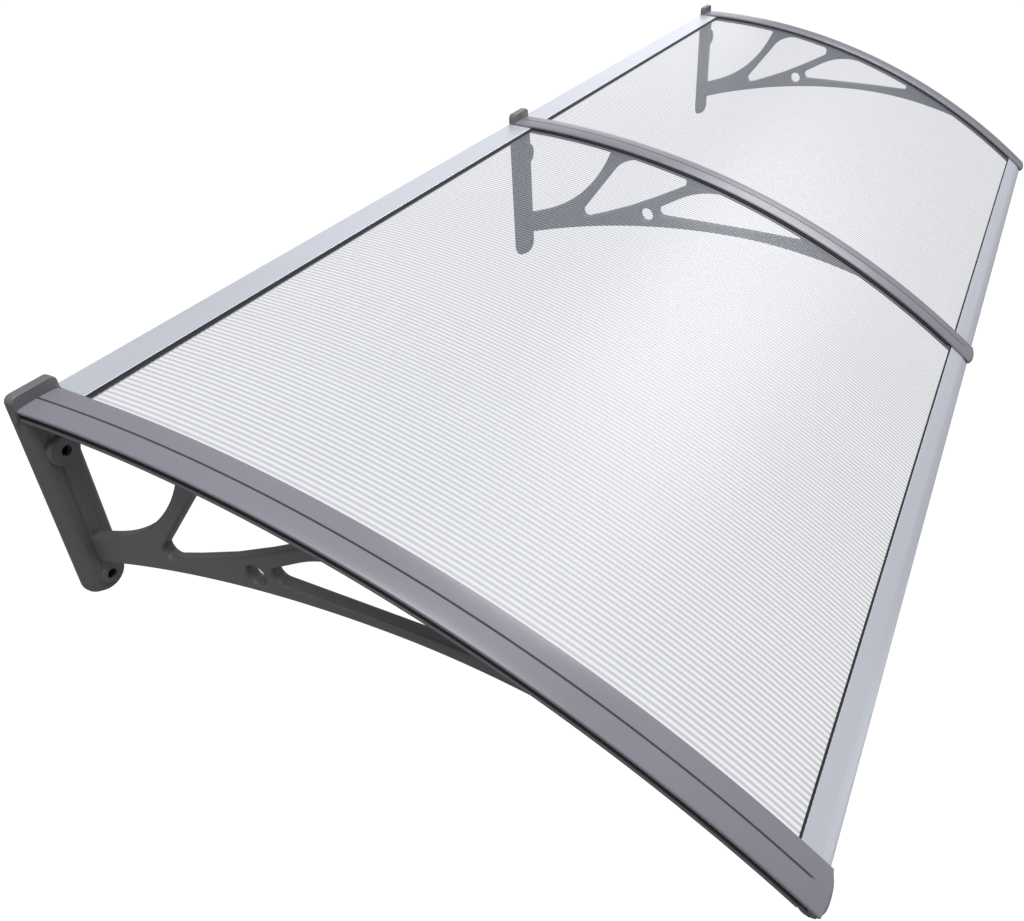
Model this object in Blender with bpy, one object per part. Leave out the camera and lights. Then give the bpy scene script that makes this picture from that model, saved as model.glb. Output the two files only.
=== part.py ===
"""Door canopy of two bays: three moulded wall brackets with cover strips, two bent twin-wall
sheets, four aluminium rails and the rubber seals between them. Metres, +Z up. The wall is the
plane Y = 0 and the canopy stands out from it towards -Y; X runs along the wall. The origin lies
on the wall face of the middle bracket, halfway between its two screw holes."""

import math

import bmesh
import bpy
from mathutils import Matrix, Vector

# Whole canopy
BAY_PITCH = 0.965
ARC_RADIUS = 1.3196
ARC_CENTRE_OUT = 0.0078
RIDGE_HEIGHT = 0.1413
ARC_STEP = math.radians(2.05)
FIT = 0.0003

# Wall plate and column of a bracket
PLATE_HALF_WIDTH = 0.0256
PLATE_THICKNESS = 0.005
PLATE_CORNER = 0.0076
PLATE_END_DROP = 0.2243
COLUMN_DEPTH = 0.0164
COLUMN_INSET = 0.009
COLUMN_TOP_DROP = 0.012
HEAD_RISE = 0.0125
HEAD_DEPTH = 0.010
HEAD_FOOT_DROP = 0.017
HEAD_EASE = 0.0015
SPINE_HALF_WIDTH = 0.0065
SPINE_DEPTH = 0.0185
SPINE_TOP_DROP = 0.030

# Screw holes and their bosses
HOLE_DROPS = (0.0583, 0.2243)
BOSS_RADII = (0.017, 0.0125)
BOSS_DEPTHS = (0.0235, 0.0188)
SCREW_HOLE_RADIUS = 0.0033
SCREW_HEAD_RADIUS = 0.0057
SCREW_SEAT_DEPTH = 0.007
BOSS_EASE = 0.002

# Beam along the top of a bracket, levels measured down from the ridge
BEAM_HALF_WIDTH = 0.0235
FLANGE_TOP = 0.0106
FLANGE_BOTTOM = 0.0136
RIB_TOP = 0.0045
RIB_HALF_WIDTH = 0.0085
BEAM_START = 0.004
BEAM_END = 0.8032
FLANGE_EASE = 0.0009

# Arms under the beam
ARM_HALF_WIDTH = 0.0075
ARM_EASE = 0.0045
ARM_APEX_OUT = 0.400
ARM_APEX_DROP = 0.1422
ARM_REAR_RADIUS = 1.20
ARM_FRONT_RADIUS = 0.760
ARM_MERGE_OUT = 0.658
ARM_TOP = 0.0052
SKIN_LEVEL = 0.0166
EYE_OUT = 0.2473
EYE_DROP = 0.1312
EYE_RADIUS = 0.0108

# First opening: foot, bend and head of the first branch's rear side
FIRST_BACK_OUT = 0.012
FIRST_FOOT_DROP = 0.1694
FIRST_BEND = (0.1367, 0.1265)
FIRST_BEND_RADIUS = 0.219
FIRST_HEAD_OUT = 0.1816
FIRST_HEAD_RADIUS = 0.004

# Second opening
SECOND_CROTCH = (0.1104, 0.1631)
SECOND_CROTCH_RADIUS = 0.0088
SECOND_BEND = (0.2176, 0.1229)
SECOND_BEND_RADIUS = 0.80
SECOND_TIP_OUT = 0.3365
SECOND_TIP_RADIUS = 0.011
SECOND_HEAD_OUT = 0.2132
SECOND_HEAD_RADIUS = 0.098

# Third opening
THIRD_CROTCH = (0.2437, 0.1293)
THIRD_CROTCH_RADIUS = 0.0094
THIRD_BEND = (0.430, 0.1290)
THIRD_BEND_RADIUS = 1.50
THIRD_TIP = (0.5395, 0.1316)
THIRD_TIP_RADIUS = 0.0060
THIRD_MIDDLE_OUT = 0.452
THIRD_MIDDLE_RADIUS = 0.50
THIRD_HEAD_OUT = 0.356
THIRD_HEAD_RADIUS = 0.129

# Toe: the rounded end of a bracket under the cover strip's nose
TOE_HALF_WIDTH = 0.022
TOE_AXIS_OUT = BEAM_END - 0.0057
TOE_AXIS_LEVEL = 0.0045
TOE_RADIUS = 0.0125
TOE_BLOCK_OUT = BEAM_END - 0.0092
TOE_EASE = 0.003
FLANGE_END = BEAM_END - 0.0097

# Cover strip
STRIP_HALF_WIDTH = 0.0235
STRIP_START = HEAD_DEPTH + FIT
STRIP_UNDERSIDE = 0.0042
STRIP_EDGE_FALL = 0.0009
STRIP_EDGE_EASE = 0.0011
GROOVE_HALF_WIDTH = 0.0012
GROOVE_DEPTH = 0.0016
GROOVE_END = BEAM_END - 0.0127
NOSE_OUT = BEAM_END + 0.0068
NOSE_RADIUS = 0.0072
NOSE_STEPS = 7
NOSE_END_TURN = 160
NOSE_PLAN_FALL = 0.0035
NOSE_WALL = BEAM_END + FIT

# Sheets, rails and seals
SHEET_TOP = 0.0063
SHEET_THICKNESS = 0.0040
SHEET_START = 0.0225
SHEET_END = BEAM_END - 0.0132
SLOT_FLOOR = SHEET_TOP + SHEET_THICKNESS
SLOT_SIDE = RIB_HALF_WIDTH + FIT
RAIL_TOP = STRIP_UNDERSIDE + FIT
RAIL_REAR_TOP = RAIL_TOP - 0.0015
RAIL_LIP = SHEET_TOP - FIT
RAIL_BOTTOM = 0.0124
RAIL_BACK = 0.0004
WALL_LIP_END = 0.0405
WALL_WEB_END = SHEET_START - FIT
WALL_SEAL_END = 0.0470
FRONT_SEAL_START = BEAM_END - 0.0307
FRONT_SEAL_WIDTH = 0.0025
FRONT_LIP_START = FRONT_SEAL_START + FRONT_SEAL_WIDTH + FIT
FRONT_WEB_START = SHEET_END + FIT
FRONT_TONGUE_END = TOE_BLOCK_OUT - FIT
FRONT_RAIL_OUT = BEAM_END + 0.0001
FRONT_RAIL_RADIUS = 0.0080
SEAL_TOP = RAIL_TOP + FIT
SEAL_BOTTOM = SHEET_TOP - FIT
SEAL_EDGE = 0.0008
EDGE_SEAL_INNER = 0.0165
EDGE_SEAL_OUTER = STRIP_HALF_WIDTH + 0.0007

ARC_CENTRE_Z = RIDGE_HEIGHT - ARC_RADIUS

PLASTIC = ("bracket_plastic", (0.120, 0.114, 0.120), 0.0, 0.45)
COVER = ("cover_plastic", (0.250, 0.245, 0.275), 0.0, 0.45)
SHEET = ("twin_wall_sheet", (0.780, 0.800, 0.830), 0.0, 0.25)
ALUMINIUM = ("satin_aluminium", (0.620, 0.640, 0.670), 1.0, 0.35)
RUBBER = ("black_rubber", (0.015, 0.015, 0.016), 0.0, 0.60)


def clear_scene():
    for obj in list(bpy.data.objects):
        bpy.data.objects.remove(obj, do_unlink=True)


def new_collection(name, hidden=False):
    group = bpy.data.collections.new(name)
    bpy.context.scene.collection.children.link(group)
    group.hide_render = hidden
    return group


def make_material(spec):
    """A Principled BSDF material from its name, colour, metalness and roughness."""
    name, colour, metallic, roughness = spec
    found = bpy.data.materials.get(name)
    if found:
        return found
    material = bpy.data.materials.new(name)
    material.use_nodes = True
    shader = material.node_tree.nodes["Principled BSDF"]
    shader.inputs["Base Color"].default_value = (*colour, 1.0)
    shader.inputs["Metallic"].default_value = metallic
    shader.inputs["Roughness"].default_value = roughness
    material.diffuse_color = (*colour, 1.0)
    return material


def finish(obj, group, spec):
    """Puts the object into its collection and gives it its material."""
    for other in list(obj.users_collection):
        other.objects.unlink(obj)
    group.objects.link(obj)
    obj.data.materials.clear()
    obj.data.materials.append(make_material(spec))
    return obj


def mesh_object(name, bm, group):
    """Turns a finished bmesh into an object with outward faces."""
    bmesh.ops.recalc_face_normals(bm, faces=bm.faces)
    data = bpy.data.meshes.new(name)
    bm.to_mesh(data)
    bm.free()
    obj = bpy.data.objects.new(name, data)
    group.objects.link(obj)
    return obj


def arc_angle(out):
    """Angle from the vertical at which the ridge circle stands this far out."""
    return math.asin((out - ARC_CENTRE_OUT) / ARC_RADIUS)


def on_arc(out, level):
    """Point (y, z) this far out from the wall, on the circle that lies level below the ridge."""
    reach = out - ARC_CENTRE_OUT
    return (-out, ARC_CENTRE_Z + math.sqrt((ARC_RADIUS - level) ** 2 - reach * reach))


def at(out, drop):
    """Point (y, z) this far out from the wall and this far below the ridge's start."""
    return (-out, RIDGE_HEIGHT - drop)


def fillet(corners, step=math.radians(18)):
    """Closed outline from (point, radius) corners, each rounded with a tangent arc."""
    outline = []
    count = len(corners)
    for index, (point, radius) in enumerate(corners):
        here = Vector(point)
        if radius <= 0.0:
            outline.append(tuple(here))
            continue
        before = (Vector(corners[index - 1][0]) - here).normalized()
        after = (Vector(corners[(index + 1) % count][0]) - here).normalized()
        half = before.angle(after) / 2.0
        reach = radius / math.tan(half)
        centre = here + (before + after).normalized() * (radius / math.sin(half))
        start = here + before * reach - centre
        turn = start.angle_signed(here + after * reach - centre)
        pieces = max(2, math.ceil(abs(turn) / step))
        for piece in range(pieces + 1):
            spin = Matrix.Rotation(-turn * piece / pieces, 2)
            outline.append(tuple(centre + spin @ start))
    return outline


def circle(centre, radius, count):
    return [(centre[0] + radius * math.cos(math.tau * k / count),
             centre[1] + radius * math.sin(math.tau * k / count)) for k in range(count)]


def grown(outline, distance):
    """The closed outline with every side moved outward by this distance, or inward if negative."""
    count = len(outline)
    area = sum(outline[k - 1][0] * outline[k][1] - outline[k][0] * outline[k - 1][1]
               for k in range(count))
    away = distance if area > 0.0 else -distance
    moved = []
    for k in range(count):
        here = Vector(outline[k])
        before = (here - Vector(outline[k - 1])).normalized()
        after = (Vector(outline[(k + 1) % count]) - here).normalized()
        along = (before + after).normalized()
        reach = away / max(0.3, along.dot(after))
        moved.append((here[0] + along[1] * reach, here[1] - along[0] * reach))
    return moved


def side_plate(name, outline, half_width, ease, group, hollow=False):
    """Plate with a (y, z) outline, centred on X = 0, its two rims rounded. A hollow one is the
    cutter for an opening with the same rounded rims: it flares towards both faces instead."""
    steps = [(0.0, 1.0), (0.29, 0.29), (1.0, 0.0)]
    if hollow:
        steps.insert(0, (-0.5, 1.0))
    way = 1.0 if hollow else -1.0
    places = [(-half_width + ease * depth, grown(outline, way * ease * spread))
              for depth, spread in steps]
    places += [(-x, ring) for x, ring in reversed(places)]
    rings = [[(x, y, z) for y, z in ring] for x, ring in places]
    return loft(name, rings, group)


def prism(name, outline, left, right, group):
    """Straight bar along X with this (y, z) outline."""
    bm = bmesh.new()
    verts = [bm.verts.new((left, y, z)) for y, z in outline]
    face = bm.faces.new(verts)
    grown = bmesh.ops.extrude_face_region(bm, geom=[face])
    moved = [item for item in grown["geom"] if isinstance(item, bmesh.types.BMVert)]
    bmesh.ops.translate(bm, verts=moved, vec=(right - left, 0.0, 0.0))
    return mesh_object(name, bm, group)


def stations(first, last):
    """Angles from first to last that share their steps with every other bent piece."""
    low = math.floor(first / ARC_STEP + 0.2) + 1
    high = math.ceil(last / ARC_STEP - 0.2)
    return [first] + [k * ARC_STEP for k in range(low, high)] + [last]


def arc_bar(name, section, start, end, group):
    """Bar with an (x, level) section carried along the arc between two distances from the wall."""
    rings = []
    for angle in stations(arc_angle(start), arc_angle(end)):
        ring = []
        for x, level in section:
            radius = ARC_RADIUS - level
            ring.append((x, -ARC_CENTRE_OUT - radius * math.sin(angle),
                         ARC_CENTRE_Z + radius * math.cos(angle)))
        rings.append(ring)
    return loft(name, rings, group)


def cylinder(name, radius, start, end, centre_z, group, ease=0.0, sides=20):
    """Cylinder square to the wall between two distances from it, its outer rim eased."""
    bm = bmesh.new()
    turn = Matrix.Rotation(math.radians(90), 4, "X")
    place = Matrix.Translation((0.0, -(start + end) / 2.0, centre_z)) @ turn
    bmesh.ops.create_cone(bm, cap_ends=True, segments=sides, radius1=radius, radius2=radius,
                          depth=end - start, matrix=place)
    if ease > 0.0:
        rim = [edge for edge in bm.edges if all(v.co.y < -end + 1e-5 for v in edge.verts)]
        bmesh.ops.bevel(bm, geom=rim, offset=ease, segments=1, affect="EDGES", profile=0.5)
    return mesh_object(name, bm, group)


def loft(name, rings, group):
    """Closed solid through rings of points that all have the same count."""
    bm = bmesh.new()
    rows = [[bm.verts.new(point) for point in ring] for ring in rings]
    count = len(rows[0])
    for row, following in zip(rows, rows[1:]):
        for k in range(count):
            after = (k + 1) % count
            bm.faces.new((row[k], row[after], following[after], following[k]))
    bm.faces.new(rows[0])
    bm.faces.new(rows[-1])
    return mesh_object(name, bm, group)


def combine(base, other, operation, solver="EXACT"):
    """Applies one Boolean to the base and removes the other object."""
    modifier = base.modifiers.new(operation.lower(), "BOOLEAN")
    modifier.operation = operation
    modifier.solver = solver
    modifier.object = other
    bpy.context.view_layer.update()
    shaped = base.evaluated_get(bpy.context.evaluated_depsgraph_get())
    data = bpy.data.meshes.new_from_object(shaped)
    old = base.data
    base.modifiers.clear()
    base.data = data
    bpy.data.meshes.remove(old)
    bpy.data.objects.remove(other, do_unlink=True)
    return base


def plate_ring(out, inset, top_drop, corner, sides=12):
    """Outline of the wall plate at one depth: flat top, straight sides and a round lower end."""
    half = PLATE_HALF_WIDTH - inset
    top = RIDGE_HEIGHT - top_drop
    low = RIDGE_HEIGHT - PLATE_END_DROP
    ring = [(-half, -out, top - corner), (-half + corner, -out, top),
            (half - corner, -out, top), (half, -out, top - corner)]
    if corner > 0.001:
        ring = []
        for centre_x, start in ((-half + corner, 180), (half - corner, 90)):
            for k in range(5):
                turn = math.radians(start - 22.5 * k)
                ring.append((centre_x + corner * math.cos(turn), -out,
                             top - corner + corner * math.sin(turn)))
    for k in range(sides + 1):
        turn = math.pi * k / sides
        ring.append((half * math.cos(turn), -out, low - half * math.sin(turn)))
    return ring


def build_column(group):
    """Column: the plate's flange and, in front of it, sides that curve into a flat front."""
    curve = ((0.0, 0.0), (PLATE_THICKNESS, 0.0), (0.50, 0.22), (0.79, 0.55), (0.93, 0.78), (1.0, 1.0))
    rings = []
    for index, (depth, inset) in enumerate(curve):
        out = depth if index < 2 else depth * COLUMN_DEPTH
        rings.append(plate_ring(out, inset * COLUMN_INSET, COLUMN_TOP_DROP, 0.0004))
    return loft("column", rings, group)


def build_head(group):
    """Head block: stands above the strip, its upper corners round and its foot sloping back."""
    foot = RIDGE_HEIGHT - HEAD_FOOT_DROP
    top = RIDGE_HEIGHT + HEAD_RISE
    outline = fillet([((0.0, foot), 0.0), ((0.0, top), 0.0),
                      ((-HEAD_DEPTH, top), HEAD_EASE * 1.6),
                      ((-HEAD_DEPTH, foot + HEAD_DEPTH), 0.003),
                      ((-PLATE_THICKNESS, foot), 0.0)], math.radians(30))
    block = prism("head", outline, -PLATE_HALF_WIDTH - 0.002, PLATE_HALF_WIDTH + 0.002, group)
    rim = [plate_ring(-0.003, 0.0, -HEAD_RISE, PLATE_CORNER),
           plate_ring(HEAD_DEPTH - HEAD_EASE, 0.0, -HEAD_RISE, PLATE_CORNER),
           plate_ring(HEAD_DEPTH + 0.0005, HEAD_EASE, -HEAD_RISE + HEAD_EASE * 0.3,
                      PLATE_CORNER - HEAD_EASE * 0.5)]
    return combine(block, loft("head_rim", rim, group), "INTERSECT")


def build_arms(group, cutters):
    """The arms: one plate cut out by three openings and the round eye."""
    outer = [at(0.003, ARM_APEX_DROP + (ARM_APEX_OUT - 0.003) ** 2 / (2 * ARM_REAR_RADIUS))]
    for k in range(1, 9):
        out = ARM_APEX_OUT * k / 8
        outer.append(at(out, ARM_APEX_DROP + (ARM_APEX_OUT - out) ** 2 / (2 * ARM_REAR_RADIUS)))
    for k in range(1, 7):
        out = ARM_APEX_OUT + (ARM_MERGE_OUT - ARM_APEX_OUT) * k / 6
        outer.append(at(out, ARM_APEX_DROP + (out - ARM_APEX_OUT) ** 2 / (2 * ARM_FRONT_RADIUS)))
    for k in range(13):
        out = (ARM_MERGE_OUT + 0.012) * (1 - k / 12) + 0.003 * k / 12
        outer.append(on_arc(out, ARM_TOP))
    first = fillet([
        (at(FIRST_BACK_OUT, FIRST_FOOT_DROP), 0.0),
        (at(*FIRST_BEND), FIRST_BEND_RADIUS),
        (on_arc(FIRST_HEAD_OUT, SKIN_LEVEL), FIRST_HEAD_RADIUS),
        (on_arc(FIRST_HEAD_OUT / 2, SKIN_LEVEL), 0.0),
        (on_arc(FIRST_BACK_OUT, SKIN_LEVEL), 0.0),
    ], math.radians(9))
    second = fillet([
        (at(*SECOND_CROTCH), SECOND_CROTCH_RADIUS),
        (at(*SECOND_BEND), SECOND_BEND_RADIUS),
        (on_arc(SECOND_TIP_OUT, SKIN_LEVEL), SECOND_TIP_RADIUS),
        (on_arc(SECOND_HEAD_OUT, SKIN_LEVEL), SECOND_HEAD_RADIUS),
    ], math.radians(20))
    third = fillet([
        (at(*THIRD_CROTCH), THIRD_CROTCH_RADIUS),
        (at(*THIRD_BEND), THIRD_BEND_RADIUS),
        (at(*THIRD_TIP), THIRD_TIP_RADIUS),
        (on_arc(THIRD_MIDDLE_OUT, SKIN_LEVEL), THIRD_MIDDLE_RADIUS),
        (on_arc(THIRD_HEAD_OUT, SKIN_LEVEL), THIRD_HEAD_RADIUS),
    ], math.radians(20))
    eye = circle(at(EYE_OUT, EYE_DROP), EYE_RADIUS, 18)
    arms = side_plate("arms", outer, ARM_HALF_WIDTH, ARM_EASE, group)
    for opening in (first, second, third, eye):
        cutter = side_plate("opening", opening, ARM_HALF_WIDTH, ARM_EASE, cutters, hollow=True)
        combine(arms, cutter, "DIFFERENCE", "MANIFOLD")
    return arms


def build_toe(group):
    """Toe: a round block along X that closes the slots and hangs a little below the beam."""
    axis = on_arc(TOE_AXIS_OUT, TOE_AXIS_LEVEL)
    end = math.asin((BEAM_END - TOE_AXIS_OUT) / TOE_RADIUS)
    start = -math.radians(88)
    outline = []
    for k in range(9):
        angle = start + (end - start) * k / 8
        outline.append((axis[0] - TOE_RADIUS * math.sin(angle),
                        axis[1] - TOE_RADIUS * math.cos(angle)))
    outline.append(on_arc(BEAM_END, RIB_TOP))
    outline.append(on_arc(TOE_BLOCK_OUT, RIB_TOP))
    outline.append(on_arc(TOE_BLOCK_OUT, FLANGE_TOP))
    outline.append(on_arc(TOE_AXIS_OUT - TOE_RADIUS, FLANGE_TOP))
    return side_plate("toe", outline, TOE_HALF_WIDTH, TOE_EASE, group)


def build_bracket(name, centre_x, group, cutters):
    """One moulded bracket: column, head, arms, slotted beam and toe made one body."""
    body = build_column(group)
    body.name = name
    combine(body, build_head(group), "UNION")
    ease = FLANGE_EASE
    half = BEAM_HALF_WIDTH
    flange = [(-half, FLANGE_TOP + ease), (-half + ease, FLANGE_TOP), (half - ease, FLANGE_TOP),
              (half, FLANGE_TOP + ease), (half, FLANGE_BOTTOM - ease),
              (half - ease, FLANGE_BOTTOM), (-half + ease, FLANGE_BOTTOM),
              (-half, FLANGE_BOTTOM - ease)]
    combine(body, arc_bar("flange", flange, BEAM_START, FLANGE_END, group), "UNION")
    rib = [(-RIB_HALF_WIDTH, RIB_TOP), (RIB_HALF_WIDTH, RIB_TOP),
           (RIB_HALF_WIDTH, FLANGE_TOP + 0.001), (-RIB_HALF_WIDTH, FLANGE_TOP + 0.001)]
    combine(body, arc_bar("rib", rib, BEAM_START, TOE_BLOCK_OUT + 0.004, group), "UNION")
    combine(body, build_arms(group, cutters), "UNION", "MANIFOLD")
    combine(body, build_toe(group), "UNION", "MANIFOLD")
    spine = fillet([((-PLATE_THICKNESS, RIDGE_HEIGHT - SPINE_TOP_DROP), 0.0),
                    ((-SPINE_DEPTH, RIDGE_HEIGHT - SPINE_TOP_DROP), 0.0),
                    ((-SPINE_DEPTH, RIDGE_HEIGHT - PLATE_END_DROP), 0.0),
                    ((-PLATE_THICKNESS, RIDGE_HEIGHT - PLATE_END_DROP), 0.0)])
    combine(body, side_plate("spine", spine, SPINE_HALF_WIDTH, 0.0022, group), "UNION")
    for drop, radius, depth in zip(HOLE_DROPS, BOSS_RADII, BOSS_DEPTHS):
        height = RIDGE_HEIGHT - drop
        combine(body, cylinder("boss", radius, 0.003, depth, height, group, BOSS_EASE), "UNION")
    for drop, depth in zip(HOLE_DROPS, BOSS_DEPTHS):
        height = RIDGE_HEIGHT - drop
        seat = cylinder("seat", SCREW_HEAD_RADIUS, depth - SCREW_SEAT_DEPTH, depth + 0.004,
                        height, cutters, sides=18)
        combine(body, seat, "DIFFERENCE")
        hole = cylinder("hole", SCREW_HOLE_RADIUS, -0.004, depth + 0.002, height, cutters, sides=16)
        combine(body, hole, "DIFFERENCE")
    body.data.transform(Matrix.Translation((centre_x, 0.0, 0.0)))
    return finish(body, group, PLASTIC)


def strip_ring(centre_x, top, inner, normal, fall):
    """One ring of the cover strip: outer points along the roof, then the two lower corners."""
    half = STRIP_HALF_WIDTH
    ease = STRIP_EDGE_EASE
    marks = [(half, STRIP_EDGE_FALL + ease), (half - 0.35 * ease, STRIP_EDGE_FALL + 0.4 * ease),
             (half - ease, STRIP_EDGE_FALL), (half * 0.6, STRIP_EDGE_FALL * 0.45)]
    profile = [(-x, down) for x, down in marks] + [(0.0, 0.0)]
    profile += [(x, down) for x, down in reversed(marks)]
    ring = []
    for x, down in profile:
        back = fall * NOSE_PLAN_FALL * (abs(x) / half) ** 4
        ring.append((centre_x + x, top[0] - normal[0] * down + back, top[1] - normal[1] * down))
    ring.append((centre_x + half, *inner))
    ring.append((centre_x - half, *inner))
    return ring


def build_strip(name, centre_x, group, cutters):
    """Cover strip: a shallow roof with a groove along its ridge that ends before a round nose."""
    turn = math.asin((NOSE_OUT - NOSE_RADIUS - ARC_CENTRE_OUT) / (ARC_RADIUS - NOSE_RADIUS))
    centre = (-(NOSE_OUT - NOSE_RADIUS),
              ARC_CENTRE_Z + (ARC_RADIUS - NOSE_RADIUS) * math.cos(turn))
    corner = on_arc(NOSE_WALL, STRIP_UNDERSIDE)
    rings = []
    for angle in stations(arc_angle(STRIP_START), turn):
        normal = (-math.sin(angle), math.cos(angle))
        top = (-ARC_CENTRE_OUT + ARC_RADIUS * normal[0], ARC_CENTRE_Z + ARC_RADIUS * normal[1])
        low = ARC_RADIUS - STRIP_UNDERSIDE
        inner = (-ARC_CENTRE_OUT + low * normal[0], ARC_CENTRE_Z + low * normal[1])
        rings.append(strip_ring(centre_x, top, corner if angle == turn else inner, normal, 0.0))
    bottom = centre[1] - NOSE_RADIUS
    end = math.radians(NOSE_END_TURN)
    for k in range(1, NOSE_STEPS + 1):
        part = k / NOSE_STEPS
        angle = turn + (end - turn) * part
        normal = (-math.sin(angle), math.cos(angle))
        top = (centre[0] + NOSE_RADIUS * normal[0], centre[1] + NOSE_RADIUS * normal[1])
        inner = (corner[0], corner[1] + (bottom + 0.0010 - corner[1]) * part)
        fall = math.sin(min(1.0, part / 0.45) * math.pi / 2)
        if part > 0.6:
            fall *= max(0.0, (1.0 - part) / 0.4)
        rings.append(strip_ring(centre_x, top, inner, normal, fall))
    strip = loft(name, rings, group)
    half = GROOVE_HALF_WIDTH
    section = [(centre_x - half * 1.6, -0.0010), (centre_x + half * 1.6, -0.0010),
               (centre_x + half * 0.8, GROOVE_DEPTH), (centre_x - half * 0.8, GROOVE_DEPTH)]
    cutter = arc_bar("groove", section, STRIP_START - 0.003, GROOVE_END, cutters)
    return finish(combine(strip, cutter, "DIFFERENCE"), group, COVER)


def build_sheet(name, left, right, group):
    """Twin-wall sheet: its outer envelope, bent to the arc and held in the brackets' slots."""
    section = [(left, SHEET_TOP), (right, SHEET_TOP),
               (right, SLOT_FLOOR), (left, SLOT_FLOOR)]
    return finish(arc_bar(name, section, SHEET_START, SHEET_END, group), group, SHEET)


def build_wall_rail(name, left, right, group):
    """Rail along the wall: a channel that takes the sheet's rear edge, with tongues at its ends."""
    body = [on_arc(RAIL_BACK, RAIL_REAR_TOP), on_arc(RAIL_BACK, RAIL_BOTTOM),
            on_arc(WALL_LIP_END, RAIL_BOTTOM), on_arc(WALL_LIP_END, SLOT_FLOOR + FIT),
            on_arc(WALL_WEB_END, SLOT_FLOOR + FIT), on_arc(WALL_WEB_END, RAIL_LIP),
            on_arc(WALL_LIP_END, RAIL_LIP), on_arc(WALL_LIP_END, RAIL_TOP + 0.0006),
            on_arc(WALL_LIP_END - 0.0006, RAIL_TOP)]
    rail = prism(name, body, left + PLATE_HALF_WIDTH + FIT, right - PLATE_HALF_WIDTH - FIT, group)
    small = 0.0001
    tongue = [on_arc(HEAD_DEPTH + FIT, RAIL_TOP + small), on_arc(HEAD_DEPTH + FIT, SLOT_FLOOR),
              on_arc(WALL_WEB_END - small, SLOT_FLOOR),
              on_arc(WALL_WEB_END - small, RAIL_LIP - small),
              on_arc(WALL_LIP_END - small, RAIL_LIP - small),
              on_arc(WALL_LIP_END - 0.0008, RAIL_TOP + small)]
    bar = prism("tongue", tongue, left + SLOT_SIDE, right - SLOT_SIDE, group)
    return finish(combine(rail, bar, "UNION"), group, ALUMINIUM)


def build_front_rail(name, left, right, group):
    """Rail along the front edge: a channel for the sheet with a round outer lip."""
    level = RAIL_TOP + FRONT_RAIL_RADIUS
    centre = on_arc(FRONT_RAIL_OUT - FRONT_RAIL_RADIUS, level)
    body = [on_arc(FRONT_LIP_START, RAIL_LIP), on_arc(FRONT_LIP_START, RAIL_TOP + 0.0005),
            on_arc(FRONT_LIP_START + 0.0006, RAIL_TOP)]
    start = math.asin((FRONT_RAIL_OUT - FRONT_RAIL_RADIUS - ARC_CENTRE_OUT) / (ARC_RADIUS - level))
    for k in range(10):
        angle = start + (math.radians(200) - start) * k / 9
        body.append((centre[0] - FRONT_RAIL_RADIUS * math.sin(angle),
                     centre[1] + FRONT_RAIL_RADIUS * math.cos(angle)))
    body += [on_arc(FRONT_WEB_START - 0.0015, RAIL_BOTTOM), on_arc(FRONT_LIP_START, RAIL_BOTTOM),
             on_arc(FRONT_LIP_START, SLOT_FLOOR + FIT),
             on_arc(FRONT_WEB_START, SLOT_FLOOR + FIT), on_arc(FRONT_WEB_START, RAIL_LIP)]
    clear = STRIP_HALF_WIDTH + FIT
    rail = prism(name, body, left + clear, right - clear, group)
    small = 0.0001
    tongue = [on_arc(FRONT_LIP_START + 0.0009, RAIL_TOP + small),
              on_arc(FRONT_TONGUE_END, RAIL_TOP + small), on_arc(FRONT_TONGUE_END, SLOT_FLOOR),
              on_arc(FRONT_WEB_START + small, SLOT_FLOOR),
              on_arc(FRONT_WEB_START + small, RAIL_LIP - small),
              on_arc(FRONT_LIP_START + small, RAIL_LIP - small)]
    bar = prism("tongue", tongue, left + SLOT_SIDE, right - SLOT_SIDE, group)
    return finish(combine(rail, bar, "UNION"), group, ALUMINIUM)


def build_wall_seal(name, left, right, group):
    """Rubber seal in front of the wall rail, its lip sloping down onto the sheet."""
    section = [on_arc(WALL_LIP_END + FIT, SEAL_BOTTOM), on_arc(WALL_LIP_END + FIT, SEAL_TOP),
               on_arc(WALL_LIP_END + 0.0045, SEAL_TOP),
               on_arc(WALL_SEAL_END, SEAL_BOTTOM - SEAL_EDGE / 2),
               on_arc(WALL_SEAL_END, SEAL_BOTTOM)]
    bar = prism(name, section, left + SLOT_SIDE, right - SLOT_SIDE, group)
    return finish(bar, group, RUBBER)


def build_front_seal(name, left, right, group):
    """Rubber seal behind the front rail's lip."""
    end = FRONT_SEAL_START + FRONT_SEAL_WIDTH
    section = [on_arc(FRONT_SEAL_START, SEAL_BOTTOM),
               on_arc(FRONT_SEAL_START, SEAL_BOTTOM - SEAL_EDGE),
               on_arc(FRONT_SEAL_START + 0.0012, SEAL_TOP), on_arc(end, SEAL_TOP),
               on_arc(end, SEAL_BOTTOM)]
    bar = prism(name, section, left + SLOT_SIDE, right - SLOT_SIDE, group)
    return finish(bar, group, RUBBER)


def build_edge_seal(name, bracket_x, side, group):
    """Rubber strip between a cover strip and the sheet, along one edge of the sheet."""
    inner = bracket_x + side * EDGE_SEAL_INNER
    outer = bracket_x + side * EDGE_SEAL_OUTER
    section = [(inner, SEAL_TOP), (outer - side * 0.0004, SEAL_TOP), (outer, SEAL_TOP + 0.0003),
               (outer, SEAL_BOTTOM), (inner, SEAL_BOTTOM)]
    bar = arc_bar(name, section, WALL_SEAL_END + FIT, FRONT_SEAL_START - FIT, group)
    return finish(bar, group, RUBBER)


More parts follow.
